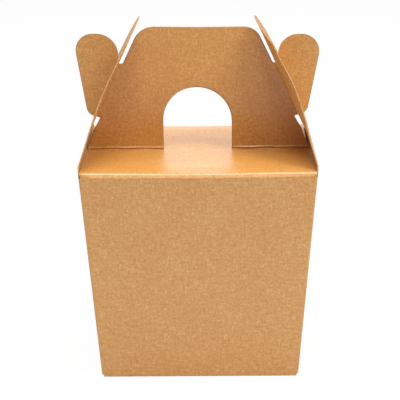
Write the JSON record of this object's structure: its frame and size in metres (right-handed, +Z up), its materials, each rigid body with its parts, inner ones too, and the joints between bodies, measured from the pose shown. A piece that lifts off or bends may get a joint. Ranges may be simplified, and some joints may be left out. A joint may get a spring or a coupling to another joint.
{
  "type": "takeaway box",
  "caption": "Takeaway box folded from kraft board: tapered body, flat roof, upright handle with a finger hole, and leaning side flaps locked by the handle's ears.",
  "frame": {"origin": "centre of the base, on the surface the box stands on", "axes": "+X to the right across the front wall, +Y from the front wall to the back wall, +Z up"},
  "size_m": [0.117, 0.0958, 0.1673],
  "materials": {
    "kraft_board": "matte, faintly calendered"
  },
  "bodies": {
    "root": {"carton": "kraft_board"}
  },
  "joints": []
}
